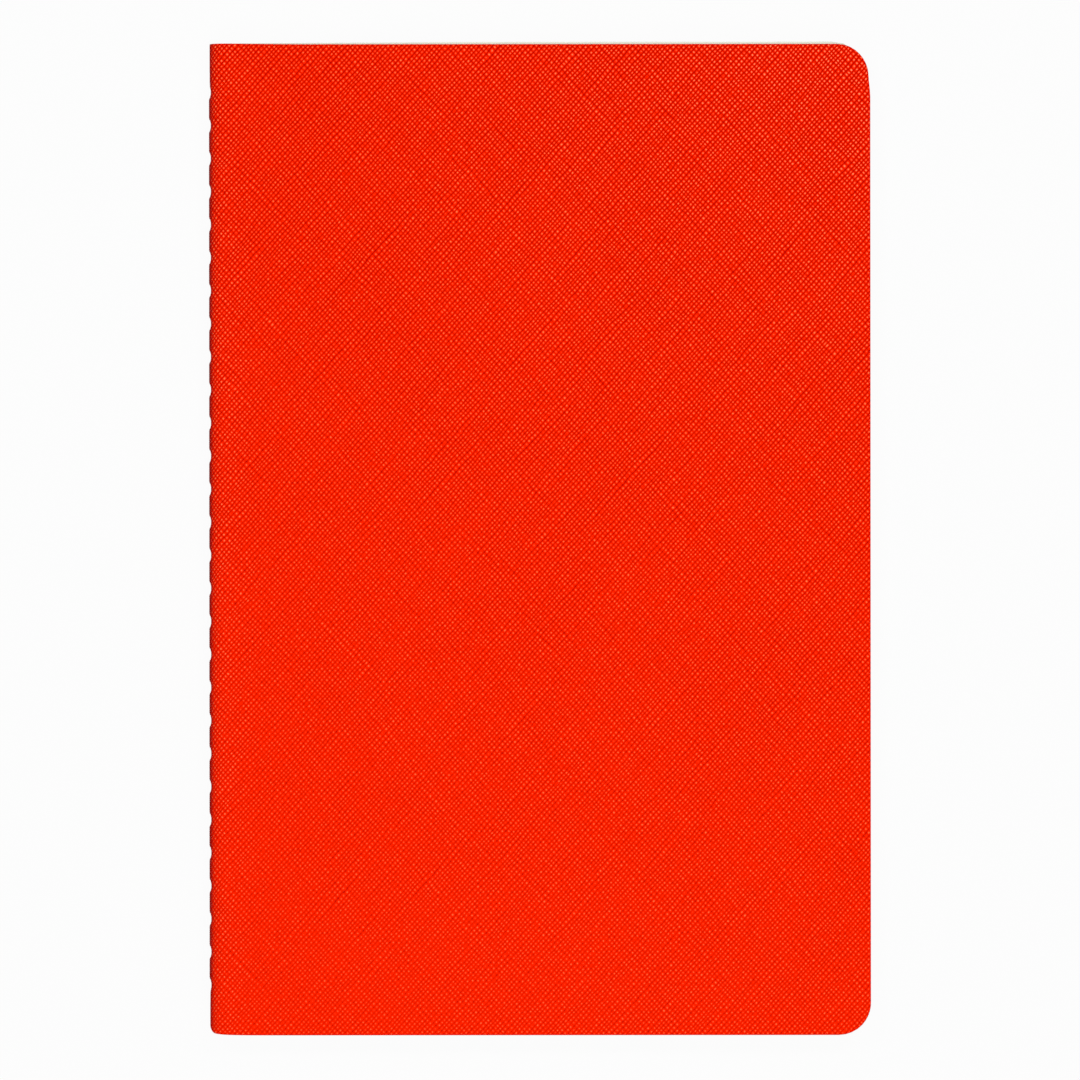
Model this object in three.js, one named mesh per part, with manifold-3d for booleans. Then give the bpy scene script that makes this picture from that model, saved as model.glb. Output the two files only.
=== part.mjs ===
import * as THREE from 'three';
import { mergeVertices } from 'three/addons/utils/BufferGeometryUtils.js';
import Module from 'manifold-3d';

// Millimetres, +Z up. The notebook lies on its back cover, spine along the left, head towards +Y.

const wasm = await Module();
wasm.setup();

// Overall size
const notebookWidth = 140;
const notebookHeight = 210;
const outerCornerRadius = 6.8;
const spineTailRadius = 1.2;

// Cover sheet: embossed leatherette laminated to a lining paper
const leatherette = 0.45;
const liningPaper = 0.15;

// Folded sheets of paper, each with a front and a back leaf
const sheetCount = 20;
const leafThickness = 0.12;
const leafForeEdgeInset = 0.3;
const leafTailInset = 0.1;

// Head edge: the paper stands a little proud of the cover, except beside the spine
const coverHeadInset = 0.5;
const spineHeadInset = 0.3;
const coverSettle = 19;
const leafSettle = 57;

// Lockstitch through the fold
const stitchCount = 27;
const stitchPitch = 7;
const threadRadius = 0.2;
const threadClearance = 0.02;
const threadDrawnIn = 0.18;
const needleHoleLength = 1.2;
const bobbinRadius = 0.18;
const threadSides = 8;

// The innermost fold leaves room for the bobbin thread
const foldGap = bobbinRadius + 3 * threadClearance;
const foldSteps = 8;

// Worked out from the values above
const innerLining = foldGap + sheetCount * leafThickness;
const outerLining = innerLining + liningPaper;
const spineRadius = outerLining + leatherette;
const middle = spineRadius;
const spineX = -notebookWidth / 2 + threadRadius;
const foldX = spineX + spineRadius;
const foreEdgeX = notebookWidth / 2;
const headY = notebookHeight / 2;
const seamLength = stitchCount * stitchPitch;
const front = 1;
const back = -1;

const leatherRed = new THREE.Color().setRGB(0.87, 0.021, 0.002);
const liningCream = new THREE.Color().setRGB(0.78, 0.74, 0.66);
const paperWhite = new THREE.Color().setRGB(0.86, 0.85, 0.79);
const threadRed = new THREE.Color().setRGB(0.62, 0.012, 0.004);

function solidOf(geometry) {
  const bare = new THREE.BufferGeometry();
  bare.setAttribute('position', geometry.getAttribute('position'));
  bare.setIndex(geometry.getIndex());
  const welded = mergeVertices(bare, 1e-5);
  return new wasm.Manifold(new wasm.Mesh({
    numProp: 3,
    vertProperties: new Float32Array(welded.getAttribute('position').array),
    triVerts: new Uint32Array(welded.getIndex().array),
  }));
}

function geometryOf(solid) {
  const mesh = solid.getMesh();
  const geometry = new THREE.BufferGeometry();
  geometry.setAttribute('position', new THREE.BufferAttribute(mesh.vertProperties, 3));
  geometry.setIndex(new THREE.BufferAttribute(mesh.triVerts, 1));
  geometry.computeVertexNormals();
  return geometry;
}

function box(x0, x1, y0, y1, z0, z1) {
  const geometry = new THREE.BoxGeometry(x1 - x0, y1 - y0, z1 - z0);
  geometry.translate((x0 + x1) / 2, (y0 + y1) / 2, (z0 + z1) / 2);
  return solidOf(geometry);
}

// Quarter of a fold in the XZ plane, from its top over the fold down to the height stop
function foldArc(radius, stop) {
  const points = [];
  for (let step = 0; step <= foldSteps; step++) {
    const angle = (Math.PI / 2) * (1 + step / foldSteps);
    const point = new THREE.Vector2(radius * Math.cos(angle), radius * Math.sin(angle));
    if (step === foldSteps) point.y = 0;
    const last = points[points.length - 1];
    if (point.y >= stop) {
      points.push(point);
      continue;
    }
    const share = (last.y - stop) / (last.y - point.y);
    if (share > 0) points.push(new THREE.Vector2().lerpVectors(last, point, share));
    break;
  }
  return points;
}

// A layer between two radii, on the side front or back, run out flat as far as endX
function layerProfile(inner, outer, side, stop, endX) {
  const outward = foldArc(outer, stop);
  const inward = foldArc(inner, stop).reverse();
  const run = endX - foldX;
  const points = [...outward, ...inward];
  if (run > 0) points.push(new THREE.Vector2(run, inner), new THREE.Vector2(run, outer));
  return new THREE.Shape(points.map((p) => new THREE.Vector2(foldX + p.x, middle + side * p.y)));
}

function alongSpine(shape) {
  const geometry = new THREE.ExtrudeGeometry(shape, { depth: notebookHeight, bevelEnabled: false });
  geometry.rotateX(Math.PI / 2);
  geometry.translate(0, notebookHeight / 2, 0);
  return solidOf(geometry);
}

// Outline from above: square at the spine's head, soft at its tail, round at both fore-edge corners
function outline({ inset, head, spineHead, settle, tail }) {
  const right = foreEdgeX - inset;
  const radius = outerCornerRadius - inset;
  const shape = new THREE.Shape();
  shape.moveTo(spineX + spineTailRadius, tail);
  shape.lineTo(right - radius, tail);
  shape.absarc(right - radius, tail + radius, radius, -Math.PI / 2, 0, false);
  shape.lineTo(right, head - radius);
  shape.absarc(right - radius, head - radius, radius, 0, Math.PI / 2, false);
  shape.lineTo(spineX + settle, head);
  shape.lineTo(spineX, spineHead);
  shape.lineTo(spineX, tail + spineTailRadius);
  shape.absarc(spineX + spineTailRadius, tail + spineTailRadius, spineTailRadius,
    Math.PI, Math.PI * 1.5, false);
  const geometry = new THREE.ExtrudeGeometry(shape, {
    depth: 2 * spineRadius, bevelEnabled: false, curveSegments: 7,
  });
  return solidOf(geometry);
}

const coverOutline = outline({
  inset: 0, head: headY - coverHeadInset, spineHead: headY - spineHeadInset,
  settle: coverSettle, tail: -headY,
});
const leafOutline = outline({
  inset: leafForeEdgeInset, head: headY, spineHead: headY - spineHeadInset,
  settle: leafSettle, tail: leafTailInset - headY,
});

// Places of the needle holes along the seam
const holes = Array.from({ length: stitchCount + 1 }, (_, hole) => hole * stitchPitch - seamLength / 2);

// Room for the threads: a shallow groove along the seam and a slot through the cover at each hole
const grooveHalf = threadRadius + threadClearance;
const threadRoom = wasm.Manifold.union([
  box(spineX - 1, spineX + grooveHalf, -headY - 1, headY + 1, middle - grooveHalf, middle + grooveHalf),
  ...holes.map((y) => box(spineX - 1, foldX - innerLining + leafThickness,
    y - needleHoleLength / 2, y + needleHoleLength / 2, middle - grooveHalf, middle + grooveHalf)),
]);

function coverLayer(inner, outer, side, endX) {
  return alongSpine(layerProfile(inner, outer, side, 0, endX)).intersect(coverOutline).subtract(threadRoom);
}

function coverPanel(inner, outer) {
  return box(foldX, foreEdgeX + 1, -headY - 1, headY + 1, middle + inner, middle + outer)
    .intersect(coverOutline);
}

function leaf(sheet, side) {
  const [inner, outer] = [0, 1].map((face) => foldGap + (sheetCount - sheet + face) * leafThickness);
  return alongSpine(layerProfile(inner, outer, side, foldGap, foreEdgeX + 1)).intersect(leafOutline);
}

// The needle thread runs outside from hole to hole and is drawn in at each one
class NeedleRun extends THREE.Curve {
  constructor() {
    super();
    const half = needleHoleLength / 2;
    this.knots = holes.flatMap((y, hole) => {
      const dip = [y, threadDrawnIn];
      const after = hole < stitchCount ? [[y + half, 0], [y + stitchPitch / 2, 0]] : [];
      return [...(hole > 0 ? [[y - half, 0]] : []), dip, ...after];
    });
  }

  getPoint(t, target = new THREE.Vector3()) {
    const place = Math.min(t, 1) * (this.knots.length - 1);
    const first = Math.min(Math.floor(place), this.knots.length - 2);
    const share = place - first;
    const [y, x] = [0, 1].map((i) => THREE.MathUtils.lerp(this.knots[first][i], this.knots[first + 1][i], share));
    return target.set(spineX + x, y, middle);
  }

  getUtoTmapping(u) {
    return u;
  }
}

function roundSection(radius) {
  const shape = new THREE.Shape();
  for (let side = 0; side < threadSides; side++) {
    const angle = (2 * Math.PI * side) / threadSides;
    const point = [radius * Math.cos(angle), radius * Math.sin(angle)];
    if (side === 0) shape.moveTo(...point);
    else shape.lineTo(...point);
  }
  return shape;
}

function needleThread() {
  const path = new NeedleRun();
  const run = solidOf(new THREE.ExtrudeGeometry(roundSection(threadRadius), {
    extrudePath: path, steps: path.knots.length - 1, bevelEnabled: false,
  }));
  const tip = foldX - bobbinRadius - threadClearance;
  const start = spineX + threadDrawnIn;
  const legs = holes.map((y) => {
    const leg = new THREE.CylinderGeometry(threadRadius * 0.9, threadRadius * 0.9, tip - start, threadSides);
    leg.rotateZ(Math.PI / 2);
    leg.translate((start + tip) / 2, y, middle);
    return solidOf(leg);
  });
  return wasm.Manifold.union([run, ...legs]);
}

function bobbinThread() {
  const thread = new THREE.CylinderGeometry(bobbinRadius, bobbinRadius, seamLength, threadSides);
  thread.translate(foldX, 0, middle);
  return solidOf(thread);
}

const notebook = new THREE.Group();
notebook.name = 'notebook';

function add(name, solid, color, roughness) {
  const material = new THREE.MeshStandardMaterial({ color, roughness, metalness: 0, name });
  const mesh = new THREE.Mesh(geometryOf(solid), material);
  mesh.name = name;
  notebook.add(mesh);
}

add('front_cover', coverPanel(outerLining, spineRadius), leatherRed, 0.45);
add('front_lining', coverPanel(innerLining, outerLining), liningCream, 0.8);
add('spine_front', coverLayer(outerLining, spineRadius, front, foldX), leatherRed, 0.45);
add('spine_lining', coverLayer(innerLining, outerLining, front, foldX), liningCream, 0.8);
add('back_cover', coverLayer(outerLining, spineRadius, back, foreEdgeX + 1), leatherRed, 0.45);
add('back_lining', coverLayer(innerLining, outerLining, back, foreEdgeX + 1), liningCream, 0.8);

for (let sheet = 1; sheet <= sheetCount; sheet++) {
  const number = String(sheet).padStart(2, '0');
  add(`sheet_${number}_front_leaf`, leaf(sheet, front), paperWhite, 0.9);
  add(`sheet_${number}_back_leaf`, leaf(sheet, back), paperWhite, 0.9);
}

add('needle_thread', needleThread(), threadRed, 0.6);
add('bobbin_thread', bobbinThread(), threadRed, 0.6);

export default notebook;
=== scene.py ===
import math

import bmesh
import bpy
import numpy as np
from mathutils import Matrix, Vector


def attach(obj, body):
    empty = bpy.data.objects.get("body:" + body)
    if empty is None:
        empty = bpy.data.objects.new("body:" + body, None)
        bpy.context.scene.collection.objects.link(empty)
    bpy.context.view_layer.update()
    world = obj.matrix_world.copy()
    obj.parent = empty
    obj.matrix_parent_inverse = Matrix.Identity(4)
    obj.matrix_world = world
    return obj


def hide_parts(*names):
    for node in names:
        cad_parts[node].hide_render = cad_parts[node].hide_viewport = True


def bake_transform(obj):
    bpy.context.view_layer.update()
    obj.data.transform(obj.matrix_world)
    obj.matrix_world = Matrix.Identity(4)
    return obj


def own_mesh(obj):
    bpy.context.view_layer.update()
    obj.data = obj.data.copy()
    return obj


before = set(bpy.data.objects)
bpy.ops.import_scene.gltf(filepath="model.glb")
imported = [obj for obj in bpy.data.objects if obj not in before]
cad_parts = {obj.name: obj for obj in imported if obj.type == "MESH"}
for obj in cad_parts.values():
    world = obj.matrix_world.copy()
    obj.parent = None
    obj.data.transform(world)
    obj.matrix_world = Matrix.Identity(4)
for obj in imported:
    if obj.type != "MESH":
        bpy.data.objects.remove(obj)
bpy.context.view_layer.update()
scene = bpy.context.scene
mm = 0.001
sheetAngle = 35               # degrees: sharper edges of a sheet stay crisp

# Millimetres. The spine runs along Y on the left; the closed notebook lies on its back cover.
book = {
    "spineX": -69.8,
    "foreEdgeX": 70.0,
    "headY": 105.0,
    "middle": 3.24,           # height of the parting between the front and back halves
    "foldX": -66.56,          # where the fold's curve ends and the flat begins
    "hingeX": -70.02,
    "spineHead": 104.7,       # head of cover and paper beside the spine
    "spineTailRadius": 1.2,
    "tailEase": 0.55,         # the tail draws in by this much at the spine, dying away over tailRun
    "tailRun": 2.4,
    "lean": 0.38,             # how far the fore-edge leans in just below its head corner
    "leanFrom": (60.0, 93.0),
    "leanOver": (9.0, 5.5),
    "straight": 94.9,         # rows run straight up to here, and follow the outline beyond
    "stitches": 27,
    "pitch": 7.0,
}
seam = book["stitches"] * book["pitch"]
holes = [n * book["pitch"] - seam / 2 for n in range(book["stitches"] + 1)]

# How far apart the rows and columns of a sheet's mesh lie where its shape needs them.
meshSteps = {
    "corner": (0, 12, 24, 36, 47, 57, 66, 74, 80, 85, 90),    # degrees round a corner
    "beforeCorner": 0.5,
    "ends": (0, 0.1, 0.22, 0.4, 1.0, 3.0, 6.0, 10.0),         # from head and tail
    "hole": (0, 0.25, 0.55, 0.85, 1.2, 1.7),                  # to both sides of each needle hole
    "holeReach": 95.5,                                        # but no further out than this
    "stitch": 0.9,                                            # to both sides of each stitch's middle
    "plain": 10.0,                                            # from row to row where nothing is sewn
    "plainReach": 90.0,
}


def smoothFaces(mesh, sharpAngle):
    """Smooth shading, with a crisp line along the edges that turn by more than this many degrees."""
    work = bmesh.new()
    work.from_mesh(mesh)
    for face in work.faces:
        face.smooth = True
    for edge in work.edges:
        edge.smooth = edge.calc_face_angle(0) <= math.radians(sharpAngle)
    work.to_mesh(mesh)
    work.free()


def showPiece(name, mesh):
    """Puts a mesh into the scene."""
    piece = bpy.data.objects.new(name, mesh)
    scene.collection.objects.link(piece)
    return piece


def makePiece(name, points, faces, uv, rim):
    """A piece from points in millimetres, with a UV map "surface" and each point's distance from the rim."""
    mesh = bpy.data.meshes.new(name)
    mesh.from_pydata((np.asarray(points) * mm).tolist(), [], faces)
    layer = mesh.uv_layers.new(name="surface")
    corner = np.zeros(len(mesh.loops), int)
    mesh.loops.foreach_get("vertex_index", corner)
    layer.data.foreach_set("uv", np.asarray(uv, float)[corner].ravel())
    mesh.attributes.new("rim", "FLOAT", "POINT").data.foreach_set("value", rim)
    smoothFaces(mesh, sheetAngle)
    return showPiece(name, mesh)


def outlineAt(x, cut):
    """Tail and head of a sheet at each x: square at the spine's head, round at the fore-edge."""
    x = np.asarray(x, float)
    radius = cut["cornerRadius"]
    over = np.clip((x - (cut["right"] - radius)) / radius, 0, 1)
    corner = radius * (1 - np.sqrt(np.clip(1 - over ** 2, 0, 1)))
    soft = book["spineTailRadius"]
    under = np.clip((book["spineX"] + soft - x) / soft, 0, 1)
    spineCorner = soft * (1 - np.sqrt(1 - under ** 2))
    rise = np.clip((x - book["spineX"]) / cut["settle"], 0, 1)
    head = book["spineHead"] + (cut["head"] - book["spineHead"]) * rise - corner
    ease = book["tailEase"] * np.exp((book["spineX"] - x) / book["tailRun"])
    return cut["tail"] + corner + spineCorner + ease, head


def leanIn(x, y):
    """How far the fore-edge leans towards the spine near its head corner."""
    reach, rise = (np.clip((place - begin) / over, 0, 1)
                   for place, begin, over in zip((x, y), book["leanFrom"], book["leanOver"]))
    return book["lean"] * rise ** 2 * (3 - 2 * rise) * reach ** 2 * (3 - 2 * reach)


def flatColumns(first, cut, steps):
    """Places across the flat of a sheet, closer together round its corners and at its edge."""
    straight = cut["right"] - cut["cornerRadius"]
    run = [x for x in steps if first < x < straight - meshSteps["beforeCorner"]]
    turns = np.radians(meshSteps["corner"])
    return np.array([*run, *(straight + cut["cornerRadius"] * np.sin(turns))])


def rowPlaces(fine):
    """Rows along the spine, close together at the needle holes where fine is true."""
    rows = [side * (book["headY"] - step) for step in meshSteps["ends"] for side in (-1, 1)]
    if fine:
        near = [y + side * step for y in holes for step in meshSteps["hole"] for side in (-1, 1)]
        rows += [y for y in near if abs(y) < meshSteps["holeReach"]]
        rows += [y + book["pitch"] / 2 + side * meshSteps["stitch"] for y in holes[:-1] for side in (-1, 1)]
    else:
        count = round(2 * meshSteps["plainReach"] / meshSteps["plain"]) + 1
        rows += list(np.linspace(-meshSteps["plainReach"], meshSteps["plainReach"], count))
    return np.array(sorted(set(np.round(rows, 4))))


def layOut(rows, tail, head):
    """Y of every row in every column: straight rows in the middle, squeezed to the outline at the ends."""
    keep = book["straight"]
    top = keep + (rows[None, :] - keep) / (book["headY"] - keep) * (head[:, None] - keep)
    low = -keep + (rows[None, :] + keep) / (book["headY"] - keep) * (-keep - tail[:, None])
    return np.where(rows > keep, top, np.where(rows < -keep, low, rows[None, :]))


def sheetMesh(outer, inner, along, cut, rows, relief=None, span=None):
    """A closed sheet between an outer and an inner line in the XZ plane, laid along Y in an outline or span.

    The points come back with the faces, a UV place in millimetres and each point's distance from the rim.
    """
    outer, inner, along = (np.asarray(a, float) for a in (outer, inner, along))
    columns, count = len(outer), len(rows)
    if span:
        tail, head = (np.full(columns, end) for end in span)
        y = span[0] + rows[None, :] * (span[1] - span[0]) + 0 * tail[:, None]
    else:
        tail, head = outlineAt(outer[:, 0], cut)
        y = layOut(rows, tail, head)
    edge = np.minimum(y - tail[:, None], head[:, None] - y)
    rim = np.minimum(edge, cut["right"] - outer[:, 0, None]).ravel()
    normal = outer - inner
    normal /= np.linalg.norm(normal, axis=1)[:, None]
    sides = []
    for line, way in ((outer, 1), (inner, -1)):
        grid = np.zeros((columns, count, 3))
        grid[:, :, 0] = line[:, 0, None] - leanIn(line[:, 0, None], y)
        grid[:, :, 1] = y
        grid[:, :, 2] = line[:, 1, None]
        if relief:
            depth = relief(along[:, None], y, edge, way)
            grid[:, :, 0] -= normal[:, 0, None] * depth
            grid[:, :, 2] -= normal[:, 1, None] * depth
        sides.append(grid)
    grid = np.concatenate(sides)
    points = grid.reshape(-1, 3)
    uv = np.stack([np.tile(np.repeat(along, count), 2), points[:, 1]], axis=1)
    flip = np.cross([normal[0, 0], 0, normal[0, 1]], [0, 1, 0]) @ \
        np.array([outer[1, 0] - outer[0, 0], 0, outer[1, 1] - outer[0, 1]]) > 0

    def at(side, column, row):
        return (side * columns + column) * count + row

    faces = []
    for c in range(columns - 1):
        for r in range(count - 1):
            faces.append((at(0, c, r), at(0, c + 1, r), at(0, c + 1, r + 1), at(0, c, r + 1)))
            faces.append((at(1, c, r), at(1, c, r + 1), at(1, c + 1, r + 1), at(1, c + 1, r)))
        faces.append((at(0, c + 1, 0), at(0, c, 0), at(1, c, 0), at(1, c + 1, 0)))
        end = count - 1
        faces.append((at(0, c, end), at(0, c + 1, end), at(1, c + 1, end), at(1, c, end)))
    for r in range(count - 1):
        faces.append((at(0, 0, r), at(0, 0, r + 1), at(1, 0, r + 1), at(1, 0, r)))
        last = columns - 1
        faces.append((at(0, last, r + 1), at(0, last, r), at(1, last, r), at(1, last, r + 1)))
    if flip:
        faces = [face[::-1] for face in faces]
    return points, faces, uv, np.tile(rim, 2)


def makeSheet(name, *shape):
    """A piece from the values that sheetMesh takes."""
    return makePiece(name, *sheetMesh(*shape))


def foldLine(radius, angles, flat, side):
    """Points of a layer at one distance from the fold's middle: round the fold, then along the flat."""
    bend = [(book["foldX"] - radius * math.cos(angle), book["middle"] + side * radius * math.sin(angle))
            for angle in angles]
    return bend + [(x, book["middle"] + side * radius) for x in flat]


class Maths:
    """Joins Math nodes in a tree, so that a pattern's rule reads as sums."""

    def __init__(self, tree):
        self.tree = tree

    def __call__(self, operation, *values, clamp=False):
        node = self.tree.nodes.new("ShaderNodeMath")
        node.operation = operation
        node.use_clamp = clamp
        for socket, value in zip(node.inputs, values):
            if isinstance(value, bpy.types.NodeSocket):
                self.tree.links.new(value, socket)
            else:
                socket.default_value = value
        return node.outputs[0]


def smoothStep(maths, value):
    """From 0 to 1 without a kink, for a value from 0 to 1."""
    return maths("MULTIPLY", maths("MULTIPLY", value, value),
                 maths("SUBTRACT", 3.0, maths("MULTIPLY", value, 2.0)))


def newMaterial(name):
    """A material, its node tree and its main shader."""
    material = bpy.data.materials.new(name)
    material.use_nodes = True
    shader = material.node_tree.nodes["Principled BSDF"]
    return material, material.node_tree, shader


def addNode(tree, kind, settings=None, **inputs):
    """A new node with its settings, and with its inputs linked or set by name."""
    node = tree.nodes.new(kind)
    for key, value in (settings or {}).items():
        setattr(node, key, value)
    for key, value in inputs.items():
        socket = node.inputs[key.replace("_", " ")]
        if isinstance(value, bpy.types.NodeSocket):
            tree.links.new(value, socket)
        else:
            socket.default_value = value
    return node


def colourRamp(tree, factor, stops):
    """Colours at places along a factor, blended in between."""
    ramp = addNode(tree, "ShaderNodeValToRGB", Fac=factor)
    while len(ramp.color_ramp.elements) < len(stops):
        ramp.color_ramp.elements.new(0.5)
    for element, (place, colour) in zip(ramp.color_ramp.elements, stops):
        element.position = place
        element.color = (*colour, 1)
    return ramp.outputs["Color"]


def mixColour(tree, share, first, second):
    """The first colour, turned towards a plain second one by a share."""
    mix = addNode(tree, "ShaderNodeMix", {"data_type": "RGBA"})
    tree.links.new(share, mix.inputs[0])
    tree.links.new(first, mix.inputs[6])
    mix.inputs[7].default_value = (*second, 1)
    return mix.outputs[2]


# Millimetres from the seam along the leather, and towards the head, as the UV map "surface" has them.
emboss = {
    "spacing": (0.842, 0.780),    # from groove to groove in each set, across the grooves
    "angle": (46.9, 48.2),
    "bandAcross": 0.28,           # spacing and depth drift from groove to groove, but hold along each groove
    "bandAlong": 0.035,
    "bandApart": 7.0,
    "drift": 1.7,
    "wander": 0.45,
    "wanderSize": 0.45,
    "ridge": 0.6,                 # under 1 the ridges are broad and the grooves narrow
    "unevenDepth": 0.13,
    "shallow": (0.11, -0.015),    # by how much each set of grooves is shallower
    "crisp": (0.98, 0.0004, 0.0011, 0.02),    # depth: at the seam, more per mm outward, up, more on the bend
    "bendReach": 12.0,
    "grainSize": 1.6,
    "cloudSize": 0.03,
    "depth": 0.11,
    "reliefShares": (0.45, 0.55, 0.34),       # pebble, trench and grain in the height
    "shadeShares": (0.15, 0.20, 0.50, 0.34, 0.06),    # both waves, pebble, trench, grain and cloud: painted shade in the grooves, random tone from grain and cloud
    # painted shade: the colour deep in the grooves, and the colour that the painted shade along the seam and
    # cut edges turns towards
    "groove": (0.46, 0.0004, 0.0),
    "ground": (0.98, 0.0152, 0.0),
    "grooveTo": 0.08,
    "groundFrom": 0.40,
    # painted highlight: the colour of the pebbles' crowns where lit, from crownFrom of their top over
    # crownOver
    "crownHighlight": (1.00, 0.1900, 0.0590),
    "crownFrom": 0.74,
    "crownOver": 0.36,
    "highlightShares": (0.78, 0.0013, 0.35),    # painted highlights on the crowns, how strong: at the seam, more per mm, on the bend
    "paleHighlight": (1.00, 0.3600, 0.1900),
    "paleCorner": (136.0, 105.0),
    "paleHighlightShares": (0.50, 0.26),     # painted highlights paler still: at the fore-edge's head corner, on the bend
    "rim": (0.32, 0.50),          # mm of every cut edge with painted shade, deeper by this share
    "spineShade": (1.1, 1.45, 0.88),       # painted shade along the seam: all is deeper this far from it, fading over, by this share
    "spineCrowns": (1.2, 1.5),    # no painted highlights on the crowns nearer than this, fading in over
    "roughness": (0.62, 0.20),    # and how far the grain changes it
    "shine": 0.02,
    "shineTint": (1.0, 0.24, 0.01, 1.0),
}


def weightedSum(maths, shares, parts):
    """Adds patterns, each times its share."""
    total = maths("MULTIPLY", parts[0], shares[0])
    for share, part in zip(shares[1:], parts[1:]):
        total = maths("MULTIPLY_ADD", part, share, total)
    return total


def colourField(tree, vector, size, detail):
    """Three unlike noises about zero."""
    maths = Maths(tree)
    noise = addNode(tree, "ShaderNodeTexNoise", Vector=vector, Scale=size, Detail=detail)
    parts = addNode(tree, "ShaderNodeSeparateColor", Color=noise.outputs["Color"])
    return [maths("SUBTRACT", parts.outputs[channel], 0.5) for channel in ("Red", "Green", "Blue")]


def grooveSet(tree, place, way, crisp, stray):
    """One set of parallel grooves: its sharp ridges, and its wave from 0 in a deep groove to 1 on a ridge."""
    maths = Maths(tree)
    u, v = place
    number = 0 if way > 0 else 1
    angle = math.radians(emboss["angle"][number])
    sine, cosine = way * math.sin(angle), math.cos(angle)
    across = maths("ADD", maths("MULTIPLY", u, sine), maths("MULTIPLY", v, cosine))
    down = maths("SUBTRACT", maths("MULTIPLY", u, cosine), maths("MULTIPLY", v, sine))
    band = addNode(tree, "ShaderNodeCombineXYZ", X=maths("MULTIPLY", across, emboss["bandAcross"]),
                   Y=maths("MULTIPLY", down, emboss["bandAlong"]), Z=emboss["bandApart"] * way)
    drift, uneven, _ = colourField(tree, band.outputs[0], 1.0, 2.0)
    phase = maths("ADD", maths("DIVIDE", across, emboss["spacing"][number]),
                  maths("MULTIPLY", drift, emboss["drift"]))
    phase = maths("MULTIPLY", maths("MULTIPLY_ADD", stray, emboss["wander"], phase), 2 * math.pi)
    ridge = maths("POWER", maths("MULTIPLY_ADD", maths("COSINE", phase), 0.5, 0.5), emboss["ridge"])
    deep = maths("MULTIPLY_ADD", uneven, emboss["unevenDepth"], 1.0 - emboss["shallow"][number])
    deep = maths("MULTIPLY", deep, crisp)
    return ridge, maths("SUBTRACT", 1.0, maths("MULTIPLY", maths("SUBTRACT", 1.0, ridge), deep))


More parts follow.
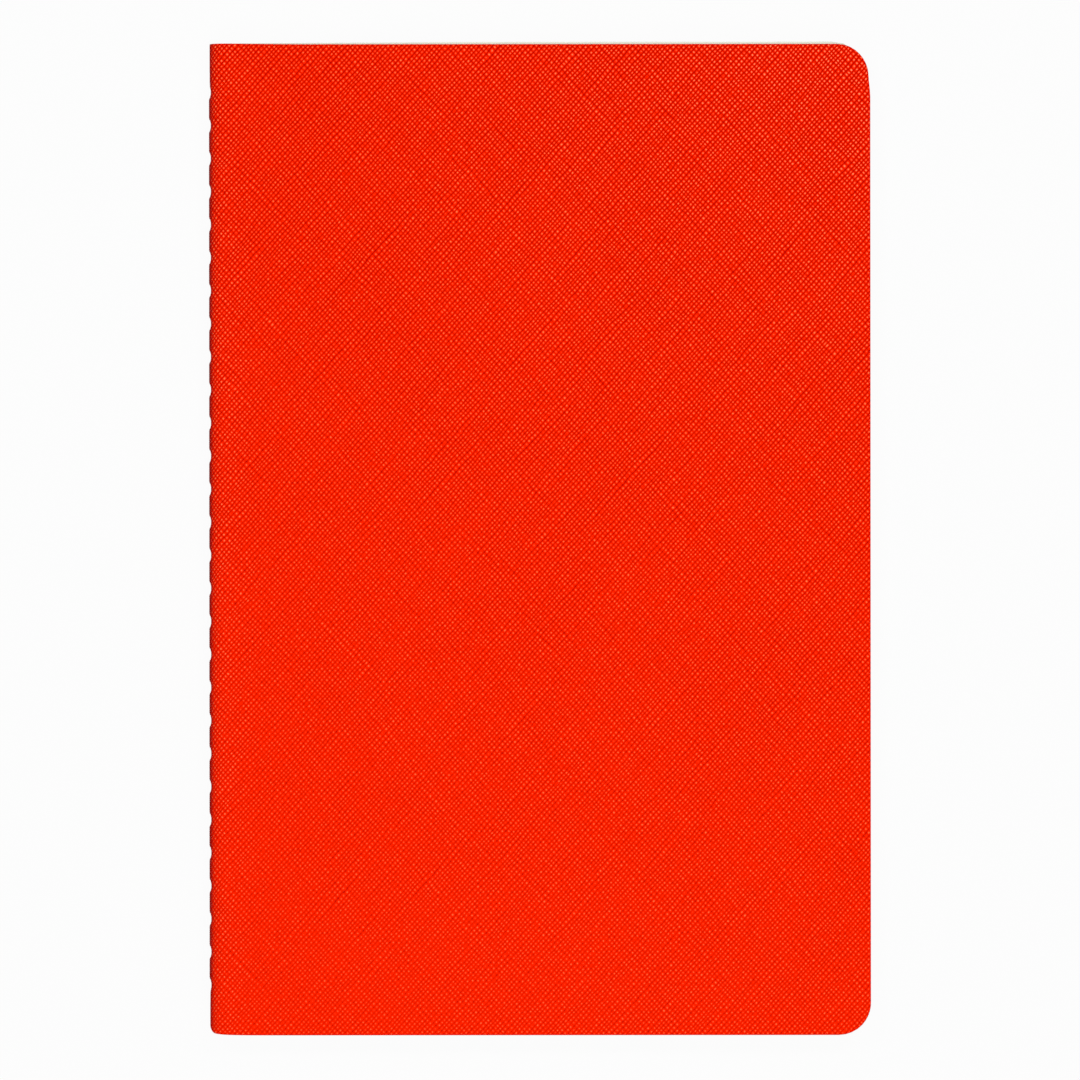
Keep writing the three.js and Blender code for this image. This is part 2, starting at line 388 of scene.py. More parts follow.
def embossedLeather():
    """Two crossing sets of grooves that leave rows of small pebbles between them, with painted shade in the
    grooves and painted highlights on the crowns.
    """
    material, tree, shader = newMaterial("embossed_leatherette")
    maths = Maths(tree)
    surface = addNode(tree, "ShaderNodeUVMap", {"uv_map": "surface"}).outputs["UV"]
    u, v, _ = addNode(tree, "ShaderNodeSeparateXYZ", Vector=surface).outputs
    fromSeam = maths("ABSOLUTE", u)
    onBend = maths("SUBTRACT", 1.0, maths("DIVIDE", fromSeam, emboss["bendReach"], clamp=True))
    crisp = maths("ADD", weightedSum(maths, emboss["crisp"][1:], (fromSeam, v, onBend)), emboss["crisp"][0])
    strays = colourField(tree, surface, emboss["wanderSize"], 2.0)
    first = grooveSet(tree, (u, v), 1, crisp, strays[0])
    second = grooveSet(tree, (u, v), -1, crisp, strays[1])
    ridges, waves = zip(first, second)
    pebble, trench = maths("MULTIPLY", *waves), maths("MINIMUM", *waves)
    grain = colourField(tree, surface, emboss["grainSize"], 4.0)[2]
    cloud = colourField(tree, surface, emboss["cloudSize"], 2.0)[0]
    relief = weightedSum(maths, emboss["reliefShares"], (pebble, trench, grain))
    # Painted shade: the colour deepens down into the grooves; grain and cloud add random tone.
    shade = weightedSum(maths, emboss["shadeShares"], (maths("ADD", *waves), pebble, trench, grain, cloud))
    colour = colourRamp(tree, shade, [(emboss["grooveTo"], emboss["groove"]),
                                      (emboss["groundFrom"], emboss["ground"])])

    # Painted shade along the seam in the spine.
    near, over, share = emboss["spineShade"]
    turned = smoothStep(maths, maths("DIVIDE", maths("SUBTRACT", fromSeam, near), over, clamp=True))
    paintedShade = maths("MULTIPLY", maths("SUBTRACT", 1.0, turned), share)
    # Painted shade along every cut edge.
    width, share = emboss["rim"]
    rim = addNode(tree, "ShaderNodeAttribute", {"attribute_name": "rim"}).outputs["Fac"]
    fromRim = maths("DIVIDE", rim, width, clamp=True)
    paintedShade = maths("MAXIMUM", paintedShade, maths("MULTIPLY", maths("SUBTRACT", 1.0, fromRim), share))
    colour = mixColour(tree, paintedShade, colour, emboss["groove"])

    # Painted highlights on the pebbles' crowns, none near the seam or the cut edges.
    top = maths("MULTIPLY", maths("MULTIPLY", *ridges), maths("ADD", grain, 1.0))
    highlightMask = maths("DIVIDE", maths("SUBTRACT", top, emboss["crownFrom"]), emboss["crownOver"], clamp=True)
    near, over = emboss["spineCrowns"]
    offSpine = maths("DIVIDE", maths("SUBTRACT", fromSeam, near), over, clamp=True)
    for factor in (crisp, crisp, offSpine, fromRim):
        highlightMask = maths("MULTIPLY", highlightMask, factor)
    seamHighlight, *more = emboss["highlightShares"]
    highlightStrength = maths("ADD", weightedSum(maths, more, (fromSeam, onBend)), seamHighlight)
    colour = mixColour(tree, maths("MULTIPLY", highlightMask, highlightStrength), colour, emboss["crownHighlight"])
    # Paler painted highlights towards the fore-edge's head corner and on the bend.
    width, height = emboss["paleCorner"]
    toCorner = maths("MULTIPLY", maths("DIVIDE", fromSeam, width), maths("DIVIDE", v, height, clamp=True))
    pale = weightedSum(maths, emboss["paleHighlightShares"], (maths("MULTIPLY", toCorner, toCorner), onBend))
    colour = mixColour(tree, maths("MULTIPLY", highlightMask, pale), colour, emboss["paleHighlight"])
    tree.links.new(colour, shader.inputs["Base Color"])

    roughness, change = emboss["roughness"]
    tree.links.new(maths("MULTIPLY_ADD", grain, change, roughness), shader.inputs["Roughness"])
    bump = addNode(tree, "ShaderNodeBump", Height=relief, Strength=1.0, Distance=emboss["depth"] * mm)
    tree.links.new(bump.outputs["Normal"], shader.inputs["Normal"])
    shader.inputs["Specular IOR Level"].default_value = emboss["shine"]
    shader.inputs["Specular Tint"].default_value = emboss["shineTint"]
    return material


paper = {
    "white": (0.88, 0.875, 0.82),
    "shade": (0.82, 0.815, 0.76),
    "shadeTo": 0.3,
    "whiteFrom": 0.6,
    "fibres": (900.0, 0.6),       # how fine, per metre, and their share in the colour
    "clouds": (30.0, 0.4),
    "fibreDepth": 0.03,
    "fibreStrength": 0.25,
    "roughness": 0.85,
    "cutEdgeShade": (0.76, 0.80, 0.68),
    "cutEdgeWidth": 0.9,      # painted shade: so much of a page's rim is deeper, fading over the last cutEdgeFade of it
    "cutEdgeFade": 0.3,
    "rule": (0.47, 0.50, 0.54),
    "ruleSpacing": 7.0,
    "ruleWidth": 0.16,
    "ruleInk": 0.75,
    "headMargin": 16.0,
    "tailMargin": 9.0,
}


def ruledPaper(name, ruled):
    """Off-white paper, and where ruled is true its lines and painted shade along the rims of the pages."""
    material, tree, shader = newMaterial(name)
    maths = Maths(tree)
    place = addNode(tree, "ShaderNodeTexCoord").outputs["Object"]
    (fine, fibres), (coarse, clouds) = paper["fibres"], paper["clouds"]
    fibre = addNode(tree, "ShaderNodeTexNoise", Vector=place, Scale=fine, Detail=4.0).outputs["Fac"]
    cloud = addNode(tree, "ShaderNodeTexNoise", Vector=place, Scale=coarse, Detail=2.0).outputs["Fac"]
    colour = colourRamp(tree, weightedSum(maths, (fibres, clouds), (fibre, cloud)),
                        [(paper["shadeTo"], paper["shade"]), (paper["whiteFrom"], paper["white"])])
    if ruled:
        x, y, _ = addNode(tree, "ShaderNodeSeparateXYZ", Vector=place).outputs
        # Painted shade along the pages' cut edges.
        inward = maths("MINIMUM", maths("SUBTRACT", book["headY"] * mm, maths("ABSOLUTE", y)),
                       maths("SUBTRACT", book["foreEdgeX"] * mm, x))
        cutEdgeShade = maths("DIVIDE", maths("SUBTRACT", paper["cutEdgeWidth"] * mm, inward),
                        paper["cutEdgeFade"] * mm, clamp=True)
        colour = mixColour(tree, cutEdgeShade, colour, paper["cutEdgeShade"])
        steps = maths("DIVIDE", y, paper["ruleSpacing"] * mm)
        off = maths("ABSOLUTE", maths("SUBTRACT", maths("FRACT", steps), 0.5))
        line = maths("LESS_THAN", off, paper["ruleWidth"] / paper["ruleSpacing"] / 2)
        below = maths("LESS_THAN", y, (book["headY"] - paper["headMargin"]) * mm)
        above = maths("GREATER_THAN", y, (paper["tailMargin"] - book["headY"]) * mm)
        drawn = maths("MULTIPLY", maths("MULTIPLY", line, below), above)
        colour = mixColour(tree, maths("MULTIPLY", drawn, paper["ruleInk"]), colour, paper["rule"])
    tree.links.new(colour, shader.inputs["Base Color"])
    bump = addNode(tree, "ShaderNodeBump", Height=fibre, Strength=paper["fibreStrength"],
                   Distance=paper["fibreDepth"] * mm)
    tree.links.new(bump.outputs["Normal"], shader.inputs["Normal"])
    shader.inputs["Roughness"].default_value = paper["roughness"]
    return material


thread = {
    "dark": (0.13, 0.003, 0.002),
    "light": (0.40, 0.008, 0.003),
    "darkTo": 0.3,
    "lightFrom": 0.7,
    "fibreSize": 9000.0,
    "fibreDepth": 0.03,
    "fibreStrength": 0.6,
    "roughness": (0.4, 0.2),      # and how far the fibres change it
    "shine": 0.2,
    "shineTint": (1.0, 0.45, 0.25, 1.0),
}


def twistedThread():
    """Red waxed thread with fine fibres."""
    material, tree, shader = newMaterial("waxed_thread")
    place = addNode(tree, "ShaderNodeTexCoord").outputs["Object"]
    noise = addNode(tree, "ShaderNodeTexNoise", Vector=place, Scale=thread["fibreSize"], Detail=3.0)
    fibre = noise.outputs["Fac"]
    colour = colourRamp(tree, fibre, [(thread["darkTo"], thread["dark"]),
                                      (thread["lightFrom"], thread["light"])])
    tree.links.new(colour, shader.inputs["Base Color"])
    bump = addNode(tree, "ShaderNodeBump", Height=fibre, Strength=thread["fibreStrength"],
                   Distance=thread["fibreDepth"] * mm)
    tree.links.new(bump.outputs["Normal"], shader.inputs["Normal"])
    roughness, change = thread["roughness"]
    tree.links.new(Maths(tree)("MULTIPLY_ADD", fibre, change, roughness), shader.inputs["Roughness"])
    shader.inputs["Specular IOR Level"].default_value = thread["shine"]
    shader.inputs["Specular Tint"].default_value = thread["shineTint"]
    return material


leather = embossedLeather()
ruledLeaf = ruledPaper("ruled_paper", True)
plainLining = ruledPaper("lining_paper", False)
threadFinish = twistedThread()
print("materials ready")

cover = {
    "right": book["foreEdgeX"],
    "head": 104.5,
    "tail": -105.0,
    "cornerRadius": 6.8,
    "settle": 19.0,           # over this width the head edge comes from spineHead to its own place
    "outer": 3.24,
    "leatherette": 0.45,
    "lining": 0.15,
    "stitchDip": 0.31,        # how far each needle hole draws the leather in
    "dipSpread": (1.5, 0.85),     # its reach round the spine and along it
    "seamGroove": 0.16,
    "seamGrooveWidth": 0.32,
    "seamGrooveEnd": (0.6, 6),    # it ends this far past the last holes, this steeply
    "edgeSoft": 0.10,
    "edgeSoftWidth": 0.35,
}
spineAngles = np.array([0.03, 0.045, 0.065, 0.10, 0.14, 0.2, 0.28, 0.37, 0.47, 0.58, 0.7, 0.82, 0.94,
                        1.06, 1.17, 1.27, 1.36, 1.41, 1.46, 1.51, math.pi / 2])
creaseSteps = (0.04, 0.08, 0.12, 0.16, 0.2, 0.24, 0.28, 0.33, 0.38, 0.44, 0.5, 0.56, 0.8, 1.2, 1.8, 3, 5, 8)
flatSteps = [book["foldX"] + d for d in creaseSteps] + list(np.arange(-55, 62, 6.5))


def coverRelief(along, y, edge, way):
    """Hollows in the leather: a groove under the thread, a dip at each needle hole, soft cut edges."""
    if way < 0:
        return np.zeros(np.broadcast(along, y).shape)
    along = np.abs(along)
    nearest = np.min(np.abs(y[..., None] - np.array(holes)), axis=-1)
    past, steep = cover["seamGrooveEnd"]
    sewn = 1 / (1 + np.exp((np.abs(y) - seam / 2 - past) * steep))
    groove = cover["seamGroove"] * np.exp(-(along / cover["seamGrooveWidth"]) ** 2) * sewn
    around, lengthwise = cover["dipSpread"]
    dip = cover["stitchDip"] * np.exp(-(along / around) ** 2 - (nearest / lengthwise) ** 2)
    soft = cover["edgeSoft"] * np.clip(1 - edge / cover["edgeSoftWidth"], 0, 1) ** 2
    return groove + dip + soft


def makeCover(side):
    """Leatherette and lining of one half, from the seam in the spine to the fore-edge."""
    name = "front" if side > 0 else "back"
    flat = flatColumns(book["foldX"], cover, flatSteps)
    along = side * np.concatenate([cover["outer"] * spineAngles,
                                   cover["outer"] * math.pi / 2 + flat - book["foldX"]])
    made = []
    middleLayer = cover["outer"] - cover["leatherette"]
    innermost = middleLayer - cover["lining"]
    layers = (("leather", cover["outer"], middleLayer, leather, coverRelief, True, "leatherette"),
              ("lining", middleLayer, innermost, plainLining, None, False, "lining_paper"))
    for label, outside, inside, material, relief, fine, slot in layers:
        piece = makeSheet(f"{name}_{label}_sheet", foldLine(outside, spineAngles, flat, side),
                          foldLine(inside, spineAngles, flat, side), along, cover, rowPlaces(fine), relief)
        piece.data.materials.append(material)
        made.append(piece)
    return made


frontLeather, frontLining = makeCover(1)
backLeather, backLining = makeCover(-1)
for piece, nodes in ((frontLeather, ("spine_front", "front_cover")),
                     (frontLining, ("spine_lining", "front_lining"))):
    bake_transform(piece)
    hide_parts(*nodes)
for piece, node in ((backLeather, "back_cover"), (backLining, "back_lining")):
    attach(piece, "back_half")
    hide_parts(node)
print("cover made")


def addInputs(tree, kinds):
    """Gives a tree one input for each label, of the kind that goes with it."""
    for label, kind in kinds.items():
        tree.interface.new_socket(label, in_out="INPUT", socket_type=f"NodeSocket{kind}")


def grow(name, tree, sharpAngle=180, **values):
    """Runs a Geometry Nodes tree with these inputs and keeps its plain mesh."""
    maker = bpy.data.objects.new(f"{name}_maker", bpy.data.meshes.new(f"{name}_maker"))
    scene.collection.objects.link(maker)
    modifier = maker.modifiers.new("grow", "NODES")
    modifier.node_group = tree
    labels = {item.name: item.identifier for item in tree.interface.items_tree if item.in_out == "INPUT"}
    for label, value in values.items():
        modifier[labels[label.replace("_", " ")]] = value
    bpy.context.view_layer.update()
    evaluated = maker.evaluated_get(bpy.context.evaluated_depsgraph_get())
    mesh = bpy.data.meshes.new_from_object(evaluated)
    bpy.data.objects.remove(maker)
    mesh.name = name
    smoothFaces(mesh, sharpAngle)
    return showPiece(name, mesh)


leaves = {
    "count": 20,
    "thickness": 0.12,
    "innerGap": 0.24,         # half the room at the centre fold, where the inner thread lies
    "closing": 0.20,          # how far the centre leaves settle towards the middle, away from the fold
    "right": 69.7,
    "head": 105.0,
    "tail": -104.9,
    "cornerRadius": 7.6,
    "settle": 57.0,
    "trimWander": 0.03,       # how far each leaf's head and fore-edge stray
    "centreStop": 0.205,      # the centre sheet's halves stop this far from the middle, others at innerGap
    "centreReach": 8.6,       # its fold is drawn out towards the spine, so that it closes the gutter
    "shutFrom": 2.0,          # the centre leaves settle from here on, over shutOver, past the fold
    "shutOver": 14.0,
    "columns": 44,            # of which bendColumns go round the fold
    "bendColumns": 9,
    "rows": 40,
    "weld": 0.001,
    "seed": 11,
}


def leafTree():
    """Geometry Nodes: one leaf, bent round the fold and trimmed to the notebook's outline."""
    tree = bpy.data.node_groups.new("foldedLeaf", "GeometryNodeTree")
    tree.interface.new_socket("Geometry", in_out="OUTPUT", socket_type="NodeSocketGeometry")
    numbers = ("Side", "Outer Radius", "Thickness", "Stop Height", "Fold Reach", "Fold X", "Middle",
               "Spine X", "Right", "Head", "Tail", "Spine Head", "Settle", "Corner Radius", "Spine Corner",
               "Tail Ease", "Tail Run", "Lean", "Closing", "Trim Wander")
    addInputs(tree, {**dict.fromkeys(numbers, "Float"), "Seed": "Int", "Finish": "Material"})
    maths = Maths(tree)
    given = tree.nodes.new("NodeGroupInput").outputs
    slab = addNode(tree, "GeometryNodeMeshCube", Size=(1, 1, 1), Vertices_X=leaves["columns"],
                   Vertices_Y=leaves["rows"], Vertices_Z=2)
    place = tree.nodes.new("GeometryNodeInputPosition").outputs[0]
    place = addNode(tree, "ShaderNodeSeparateXYZ", Vector=place)
    across, up, outward = (maths("ADD", place.outputs[axis], 0.5) for axis in "XYZ")
    bent = leaves["bendColumns"] / (leaves["columns"] - 1)
    radius = maths("SUBTRACT", given["Outer Radius"],
                   maths("MULTIPLY", maths("SUBTRACT", 1.0, outward), given["Thickness"]))
    stop = maths("ARCSINE", maths("MINIMUM", maths("DIVIDE", given["Stop Height"], radius), 1.0))
    turned = maths("DIVIDE", across, bent, clamp=True)
    angle = maths("ADD", stop, maths("MULTIPLY", maths("SUBTRACT", math.pi / 2, stop), turned))
    behind = maths("MULTIPLY", maths("MULTIPLY", radius, given["Fold Reach"]), maths("COSINE", angle))
    height = maths("MULTIPLY", radius, maths("SINE", angle))

    def quarter(value, size):
        """How far a round corner has drawn an edge in, where value runs from 0 to 1 across the corner."""
        return maths("MULTIPLY", size, maths("SUBTRACT", 1.0, maths(
            "SQRT", maths("MAXIMUM", maths("SUBTRACT", 1.0, maths("MULTIPLY", value, value)), 0.0))))

    trims = []
    for number in range(2):
        odd = addNode(tree, "FunctionNodeRandomValue", {"data_type": "FLOAT"}, Seed=given["Seed"], ID=number)
        trims.append(maths("MULTIPLY", maths("SUBTRACT", maths("MULTIPLY", odd.outputs[1], 2.0), 1.0),
                           given["Trim Wander"]))
    right = maths("ADD", given["Right"], trims[0])
    flat = smoothStep(maths, maths("DIVIDE", maths("SUBTRACT", across, bent), 1 - bent, clamp=True))
    x = maths("ADD", maths("SUBTRACT", given["Fold X"], behind),
              maths("MULTIPLY", maths("SUBTRACT", right, given["Fold X"]), flat))
    over = maths("DIVIDE", maths("SUBTRACT", x, maths("SUBTRACT", right, given["Corner Radius"])),
                 given["Corner Radius"], clamp=True)
    under = maths("DIVIDE", maths("SUBTRACT", maths("ADD", given["Spine X"], given["Spine Corner"]), x),
                  given["Spine Corner"], clamp=True)
    corner = quarter(over, given["Corner Radius"])
    settled = maths("DIVIDE", maths("SUBTRACT", x, given["Spine X"]), given["Settle"], clamp=True)
    head = maths("ADD", given["Spine Head"], maths(
        "MULTIPLY", maths("SUBTRACT", maths("ADD", given["Head"], trims[1]), given["Spine Head"]), settled))
    head = maths("SUBTRACT", head, corner)
    tail = maths("ADD", maths("ADD", given["Tail"], corner), quarter(under, given["Spine Corner"]))
    ease = maths("EXPONENT", maths("DIVIDE", maths("SUBTRACT", given["Spine X"], x), given["Tail Run"]))
    tail = maths("ADD", tail, maths("MULTIPLY", ease, given["Tail Ease"]))
    y = maths("ADD", tail, maths("MULTIPLY", maths("SUBTRACT", head, tail), up))

    def rise(value, begin, over):
        """From 0 at a place in millimetres to 1 a width further on, without a kink."""
        return smoothStep(maths, maths("DIVIDE", maths("SUBTRACT", value, begin * mm), over * mm, clamp=True))

    leaning = maths("MULTIPLY", *(rise(value, begin, over) for value, begin, over
                                  in zip((x, y), book["leanFrom"], book["leanOver"])))
    x = maths("SUBTRACT", x, maths("MULTIPLY", leaning, given["Lean"]))
    shut = rise(maths("SUBTRACT", x, given["Fold X"]), leaves["shutFrom"], leaves["shutOver"])
    height = maths("SUBTRACT", height, maths("MULTIPLY", given["Closing"], shut))
    z = maths("ADD", given["Middle"], maths("MULTIPLY", given["Side"], height))
    position = addNode(tree, "ShaderNodeCombineXYZ", X=x, Y=y, Z=z).outputs[0]
    leaf = addNode(tree, "GeometryNodeSetPosition", Geometry=slab.outputs[0], Position=position).outputs[0]
    below = addNode(tree, "FunctionNodeCompare", {"operation": "LESS_THAN"}, A=given["Side"], B=0.0)
    leaf = addNode(tree, "GeometryNodeFlipFaces", Mesh=leaf, Selection=below.outputs[0]).outputs[0]
    leaf = addNode(tree, "GeometryNodeMergeByDistance", Geometry=leaf, Distance=leaves["weld"] * mm)
    leaf = addNode(tree, "GeometryNodeRealizeInstances", Geometry=leaf.outputs[0]).outputs[0]
    leaf = addNode(tree, "GeometryNodeSetMaterial", Geometry=leaf, Material=given["Finish"]).outputs[0]
    tree.links.new(leaf, tree.nodes.new("NodeGroupOutput").inputs[0])
    return tree


folded = leafTree()
lengths = {"Thickness": leaves["thickness"], "Right": leaves["right"], "Head": leaves["head"],
           "Tail": leaves["tail"], "Settle": leaves["settle"], "Corner_Radius": leaves["cornerRadius"],
           "Trim_Wander": leaves["trimWander"], "Fold_X": book["foldX"], "Middle": book["middle"],
           "Spine_X": book["spineX"], "Spine_Head": book["spineHead"],
           "Spine_Corner": book["spineTailRadius"], "Tail_Ease": book["tailEase"],
           "Tail_Run": book["tailRun"], "Lean": book["lean"]}
shared = {label: length * mm for label, length in lengths.items()}
for number in range(1, leaves["count"] + 1):
    centre = number == leaves["count"]
    outerRadius = leaves["innerGap"] + (leaves["count"] - number + 1) * leaves["thickness"]
    for side in (1, -1):
        name = f"sheet_{number:02d}_{'front' if side > 0 else 'back'}"
        leaf = grow(f"{name}_page", folded, sheetAngle, **shared, Side=side, Outer_Radius=outerRadius * mm,
                    Stop_Height=leaves["centreStop" if centre else "innerGap"] * mm,
                    Fold_Reach=leaves["centreReach"] if centre else 1.0,
                    Closing=number / leaves["count"] * leaves["closing"] * mm,
                    Seed=leaves["seed"] + number, Finish=ruledLeaf)
        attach(leaf, name if side > 0 else "back_half")
        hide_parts(f"{name}_leaf")
print("leaves made")


stitching = {
    "plyRadius": 0.105,
    "plyOffset": 0.10,        # from the middle of the thread to the middle of each ply
    "twistTurns": 6.0,        # in each stitch
    "holeRun": 1.7,           # a stitch comes up out of its hole over this length
    "outerDepth": 0.70,
    "outerProud": -0.04,
    "innerDepth": 2.75,
    "innerX": -66.35,
    "innerWide": 1.7,         # how much wider the inner thread is across the fold
    "innerFlat": 0.80,
    "points": 45,             # along each stitch
    "plySides": 8,
    "thinnest": 0.96,
    "thickest": 1.05,
    "seed": 7,
}


def stitchTree():
    """Geometry Nodes: one twisted stitch that dives into its hole at both ends, repeated along the seam."""
    tree = bpy.data.node_groups.new("twistedStitches", "GeometryNodeTree")
    tree.interface.new_socket("Geometry", in_out="OUTPUT", socket_type="NodeSocketGeometry")
    numbers = ("Stitch Pitch", "Ply Radius", "Ply Offset", "Twist Turns", "Hole Run", "Hole Depth")
    addInputs(tree, {"Stitch Count": "Int", **dict.fromkeys(numbers, "Float"), "Start": "Vector",
                     "Section": "Vector", "Seed": "Int", "Finish": "Material"})
    maths = Maths(tree)
    given = tree.nodes.new("NodeGroupInput").outputs
    pitch, run = given["Stitch Pitch"], given["Hole Run"]
    end = addNode(tree, "ShaderNodeCombineXYZ", Y=pitch).outputs[0]
    line = addNode(tree, "GeometryNodeCurvePrimitiveLine", End=end).outputs[0]
    line = addNode(tree, "GeometryNodeResampleCurve", Curve=line, Count=stitching["points"]).outputs[0]
    share = tree.nodes.new("GeometryNodeSplineParameter").outputs["Factor"]
    fromEnd = maths("MULTIPLY", maths("MINIMUM", share, maths("SUBTRACT", 1.0, share)), pitch)
    risen = smoothStep(maths, maths("DIVIDE", fromEnd, run, clamp=True))
    sink = maths("MULTIPLY", maths("SUBTRACT", 1.0, risen), given["Hole Depth"])
    spread = maths("MULTIPLY", given["Ply Offset"], maths("MULTIPLY_ADD", risen, 0.5, 0.5))
    ring = addNode(tree, "GeometryNodeCurvePrimitiveCircle", Resolution=stitching["plySides"],
                   Radius=given["Ply Radius"]).outputs[0]
    plies = []
    for ply in range(3):
        turn = maths("ADD", maths("MULTIPLY", maths("MULTIPLY", share, given["Twist Turns"]), 2 * math.pi),
                     2 * math.pi * ply / 3)
        x = maths("ADD", sink, maths("MULTIPLY", maths("COSINE", turn), spread))
        z = maths("MULTIPLY", maths("SINE", turn), spread)
        offset = addNode(tree, "ShaderNodeCombineXYZ", X=x, Z=z).outputs[0]
        laid = addNode(tree, "GeometryNodeSetPosition", Geometry=line, Offset=offset).outputs[0]
        body = addNode(tree, "GeometryNodeCurveToMesh", Curve=laid)
        tree.links.new(ring, body.inputs["Profile Curve"])
        body.inputs["Fill Caps"].default_value = True
        plies.append(body.outputs[0])
    stitch = tree.nodes.new("GeometryNodeJoinGeometry")
    for ply in plies:
        tree.links.new(ply, stitch.inputs[0])
    points = addNode(tree, "GeometryNodeMeshLine", Count=given["Stitch Count"], Offset=end)
    tree.links.new(given["Start"], points.inputs["Start Location"])
    odd = addNode(tree, "FunctionNodeRandomValue", {"data_type": "FLOAT"})
    odd.inputs[2].default_value, odd.inputs[3].default_value = stitching["thinnest"], stitching["thickest"]
    tree.links.new(given["Seed"], odd.inputs["Seed"])
    scale = addNode(tree, "ShaderNodeVectorMath", {"operation": "MULTIPLY"})
    tree.links.new(given["Section"], scale.inputs[0])
    girth = addNode(tree, "ShaderNodeCombineXYZ", X=odd.outputs[1], Y=1.0, Z=odd.outputs[1]).outputs[0]
    tree.links.new(girth, scale.inputs[1])
    placed = addNode(tree, "GeometryNodeInstanceOnPoints", Points=points.outputs[0],
                     Instance=stitch.outputs[0], Scale=scale.outputs[0])
    solid = addNode(tree, "GeometryNodeRealizeInstances", Geometry=placed.outputs[0]).outputs[0]
    solid = addNode(tree, "GeometryNodeSetMaterial", Geometry=solid, Material=given["Finish"]).outputs[0]
    tree.links.new(solid, tree.nodes.new("NodeGroupOutput").inputs[0])
    return tree


stitches = stitchTree()
common = {"Stitch_Count": book["stitches"], "Stitch_Pitch": book["pitch"] * mm,
          "Ply_Radius": stitching["plyRadius"] * mm, "Ply_Offset": stitching["plyOffset"] * mm,
          "Twist_Turns": stitching["twistTurns"], "Hole_Run": stitching["holeRun"] * mm,
          "Finish": threadFinish}
outerX = book["spineX"] - stitching["outerProud"]
outerThread = grow("outer_stitches", stitches, **common, Hole_Depth=stitching["outerDepth"] * mm,
                   Start=(outerX * mm, -seam / 2 * mm, book["middle"] * mm),
                   Section=(1.0, 1.0, 1.0), Seed=stitching["seed"])
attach(outerThread, "back_half")
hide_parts("needle_thread")
innerThread = grow("inner_stitches", stitches, **common,
                   Hole_Depth=-stitching["innerDepth"] / stitching["innerWide"] * mm,
                   Start=(stitching["innerX"] * mm, -seam / 2 * mm, book["middle"] * mm),
                   Section=(stitching["innerWide"], 1.0, stitching["innerFlat"]), Seed=stitching["seed"] + 1)
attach(innerThread, "back_half")
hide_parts("bobbin_thread")
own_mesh(innerThread)
print("threads made")


bridge = {
    "half": 0.14,             # it reaches this far above and below the middle, under the spine's two halves
    "steps": (0, 0.1, 0.2, 0.3, 0.43, 0.6, 1),
    "thickness": 0.04,
    "under": 0.02,            # it lies this far inside the leatherette's outer face
    "bend": 0.06,
    "deepest": 0.22,
    "rows": 420,
}


def makeBridge():
    """The leatherette between the spine's halves, which the stitches pass through."""
    steps = np.array(bridge["steps"]) * bridge["half"]
    heights = np.concatenate([-steps[:0:-1], steps])
    outer = np.array([(book["spineX"] + bridge["under"], book["middle"] + z) for z in heights])
    inner = outer + (bridge["thickness"], 0)
    tail, head = (float(end[0]) for end in outlineAt([book["spineX"]], cover))

    def shallow(along, y, edge, way):
        """The spine's own hollows on both faces, less deep and without the soft cut edge."""
        return np.minimum(coverRelief(along, y, edge + 1, 1), bridge["deepest"])

    rows = np.linspace(0, 1, bridge["rows"])
    piece = makeSheet("spine_bridge", outer, inner, heights, cover, rows, shallow,
                      (tail + bridge["under"], head - bridge["under"]))
    piece.data.materials.append(leather)
    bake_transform(piece)


makeBridge()
print("bridge made")

gutter = {
    # Half of the fold, from the leaf to its nose: distances from the hinge line and from the middle.
    "path": ((1.6, 0.195), (1.25, 0.19), (1.08, 0.16), (0.96, 0.09), (0.88, 0.045), (0.8, 0.03),
             (0.65, 0.03)),
    "nearest": 0.53,
    "nose": 0.05,
    "noseColumns": 25,
    "thickness": 0.03,
    "outline": {"right": 60, "head": 104.4, "tail": -103.9, "cornerRadius": 1, "settle": 500},
}


def makeGutter():
    """The fold of the centre sheet: it turns back on itself when shut."""
    turn = np.linspace(-math.pi / 2, math.pi / 2, gutter["noseColumns"])
    lines = []
    for outward in (gutter["thickness"], 0):
        half, near = gutter["path"][-1][1] + outward, gutter["nearest"] - outward
        bend = [(near + gutter["nose"] * (1 - math.cos(angle)), half * math.sin(angle)) for angle in turn]
        below = [(x, -z - outward) for x, z in gutter["path"]]
        above = [(x, -z) for x, z in reversed(below)]
        lines.append(np.array([(book["hingeX"] + x, book["middle"] + z) for x, z in [*below, *bend, *above]]))
    outer, inner = lines
    along = np.concatenate([[0], np.cumsum(np.linalg.norm(np.diff(outer, axis=0), axis=1))])
    fold = makeSheet("centre_fold", outer, inner, along, gutter["outline"], rowPlaces(False))
    fold.data.materials.append(ruledLeaf)
    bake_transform(fold)


makeGutter()
print("gutter made")

framing = {
    "width": 228.28,          # of the picture, at the front cover
    "distance": 1500.0,       # from the front cover
    "x": 0.11,
    "y": -0.325,
    "roll": -0.045,
    "sensor": 36.0,
}
camera = bpy.data.cameras.new("camera")
camera.sensor_width = framing["sensor"]
camera.lens = framing["sensor"] * framing["distance"] / framing["width"]
camera.clip_end = 50
scene.camera = bpy.data.objects.new("camera", camera)
away = framing["distance"] + 2 * book["middle"]
scene.camera.location = (framing["x"] * mm, framing["y"] * mm, away * mm)
scene.camera.rotation_euler = (0, 0, math.radians(framing["roll"]))
scene.collection.objects.link(scene.camera)

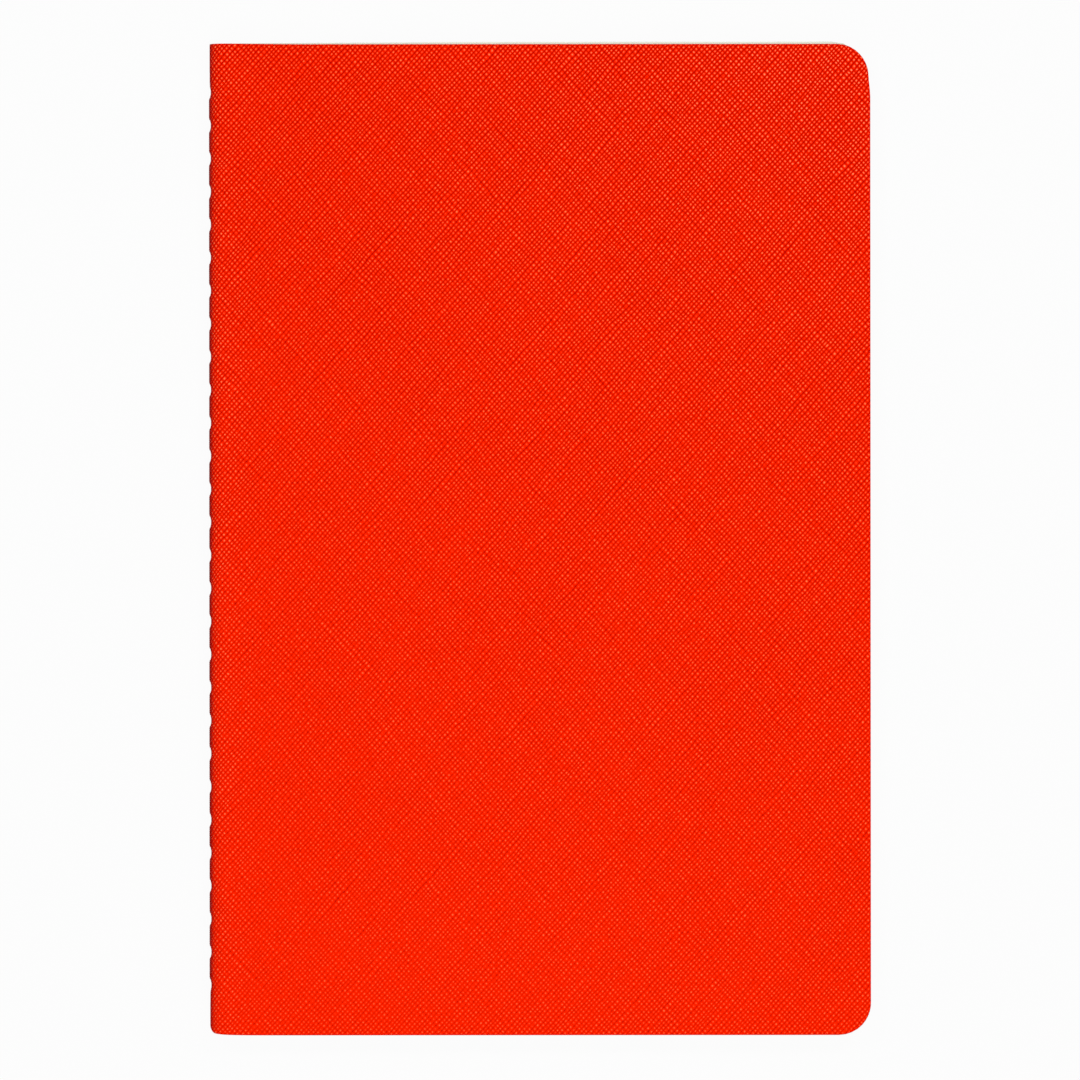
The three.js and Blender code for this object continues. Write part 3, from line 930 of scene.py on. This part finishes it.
studio = {
    "world": 0.18,
    "backdrop": 0.95,         # share of plain white that the camera sees on the floor, over its shadows
    "floorDrop": 0.66,        # mm under the notebook, so that the folded cover lies on it too
    "floorGrey": 0.50,
    "lamps": (                # place in m, size in m, watts
        ((-0.40, 0.42, 0.95), 0.22, 3.35),
        ((0.38, 0.46, 0.88), 0.22, 3.8),
        ((0.00, -0.60, 1.20), 0.80, 8.9),
    ),
}


def seenPlainly(tree):
    """1 where the camera, a reflection or glass looks straight at this surface."""
    path = tree.nodes.new("ShaderNodeLightPath").outputs
    maths = Maths(tree)
    return maths("MAXIMUM", maths("MAXIMUM", path["Is Camera Ray"], path["Is Glossy Ray"]),
                 path["Is Transmission Ray"])


def lightStudio():
    """White all round for the camera, dim all round for the notebook, and three soft lamps."""
    world = bpy.data.worlds.new("studio")
    scene.world = world
    world.use_nodes = True
    tree = world.node_tree
    strength = Maths(tree)("MULTIPLY_ADD", seenPlainly(tree), 1 - studio["world"], studio["world"])
    tree.nodes["Background"].inputs["Color"].default_value = (1, 1, 1, 1)
    tree.links.new(strength, tree.nodes["Background"].inputs["Strength"])
    for number, (place, size, power) in enumerate(studio["lamps"]):
        lamp = bpy.data.lights.new(f"softbox_{number}", "AREA")
        lamp.size, lamp.energy = size, power
        holder = bpy.data.objects.new(lamp.name, lamp)
        holder.location = place
        holder.rotation_euler = (-Vector(place)).to_track_quat("-Z", "Y").to_euler()
        scene.collection.objects.link(holder)


def makeFloor():
    """A pale floor that shows almost white, with a trace of the notebook's shadow."""
    bpy.ops.mesh.primitive_plane_add(size=6, location=(0, 0, -studio["floorDrop"] * mm))
    floor = bpy.context.object
    floor.name = "floor"
    material, tree, shader = newMaterial("pale_floor")
    shader.inputs["Base Color"].default_value = (*[studio["floorGrey"]] * 3, 1)
    shader.inputs["Roughness"].default_value = 0.9
    white = addNode(tree, "ShaderNodeEmission", Strength=1.0)
    mix = tree.nodes.new("ShaderNodeMixShader")
    tree.links.new(Maths(tree)("MULTIPLY", seenPlainly(tree), studio["backdrop"]), mix.inputs[0])
    tree.links.new(shader.outputs[0], mix.inputs[1])
    tree.links.new(white.outputs[0], mix.inputs[2])
    tree.links.new(mix.outputs[0], tree.nodes["Material Output"].inputs["Surface"])
    floor.data.materials.append(material)


lightStudio()
makeFloor()
scene.view_settings.view_transform = "Standard"
print("studio ready")
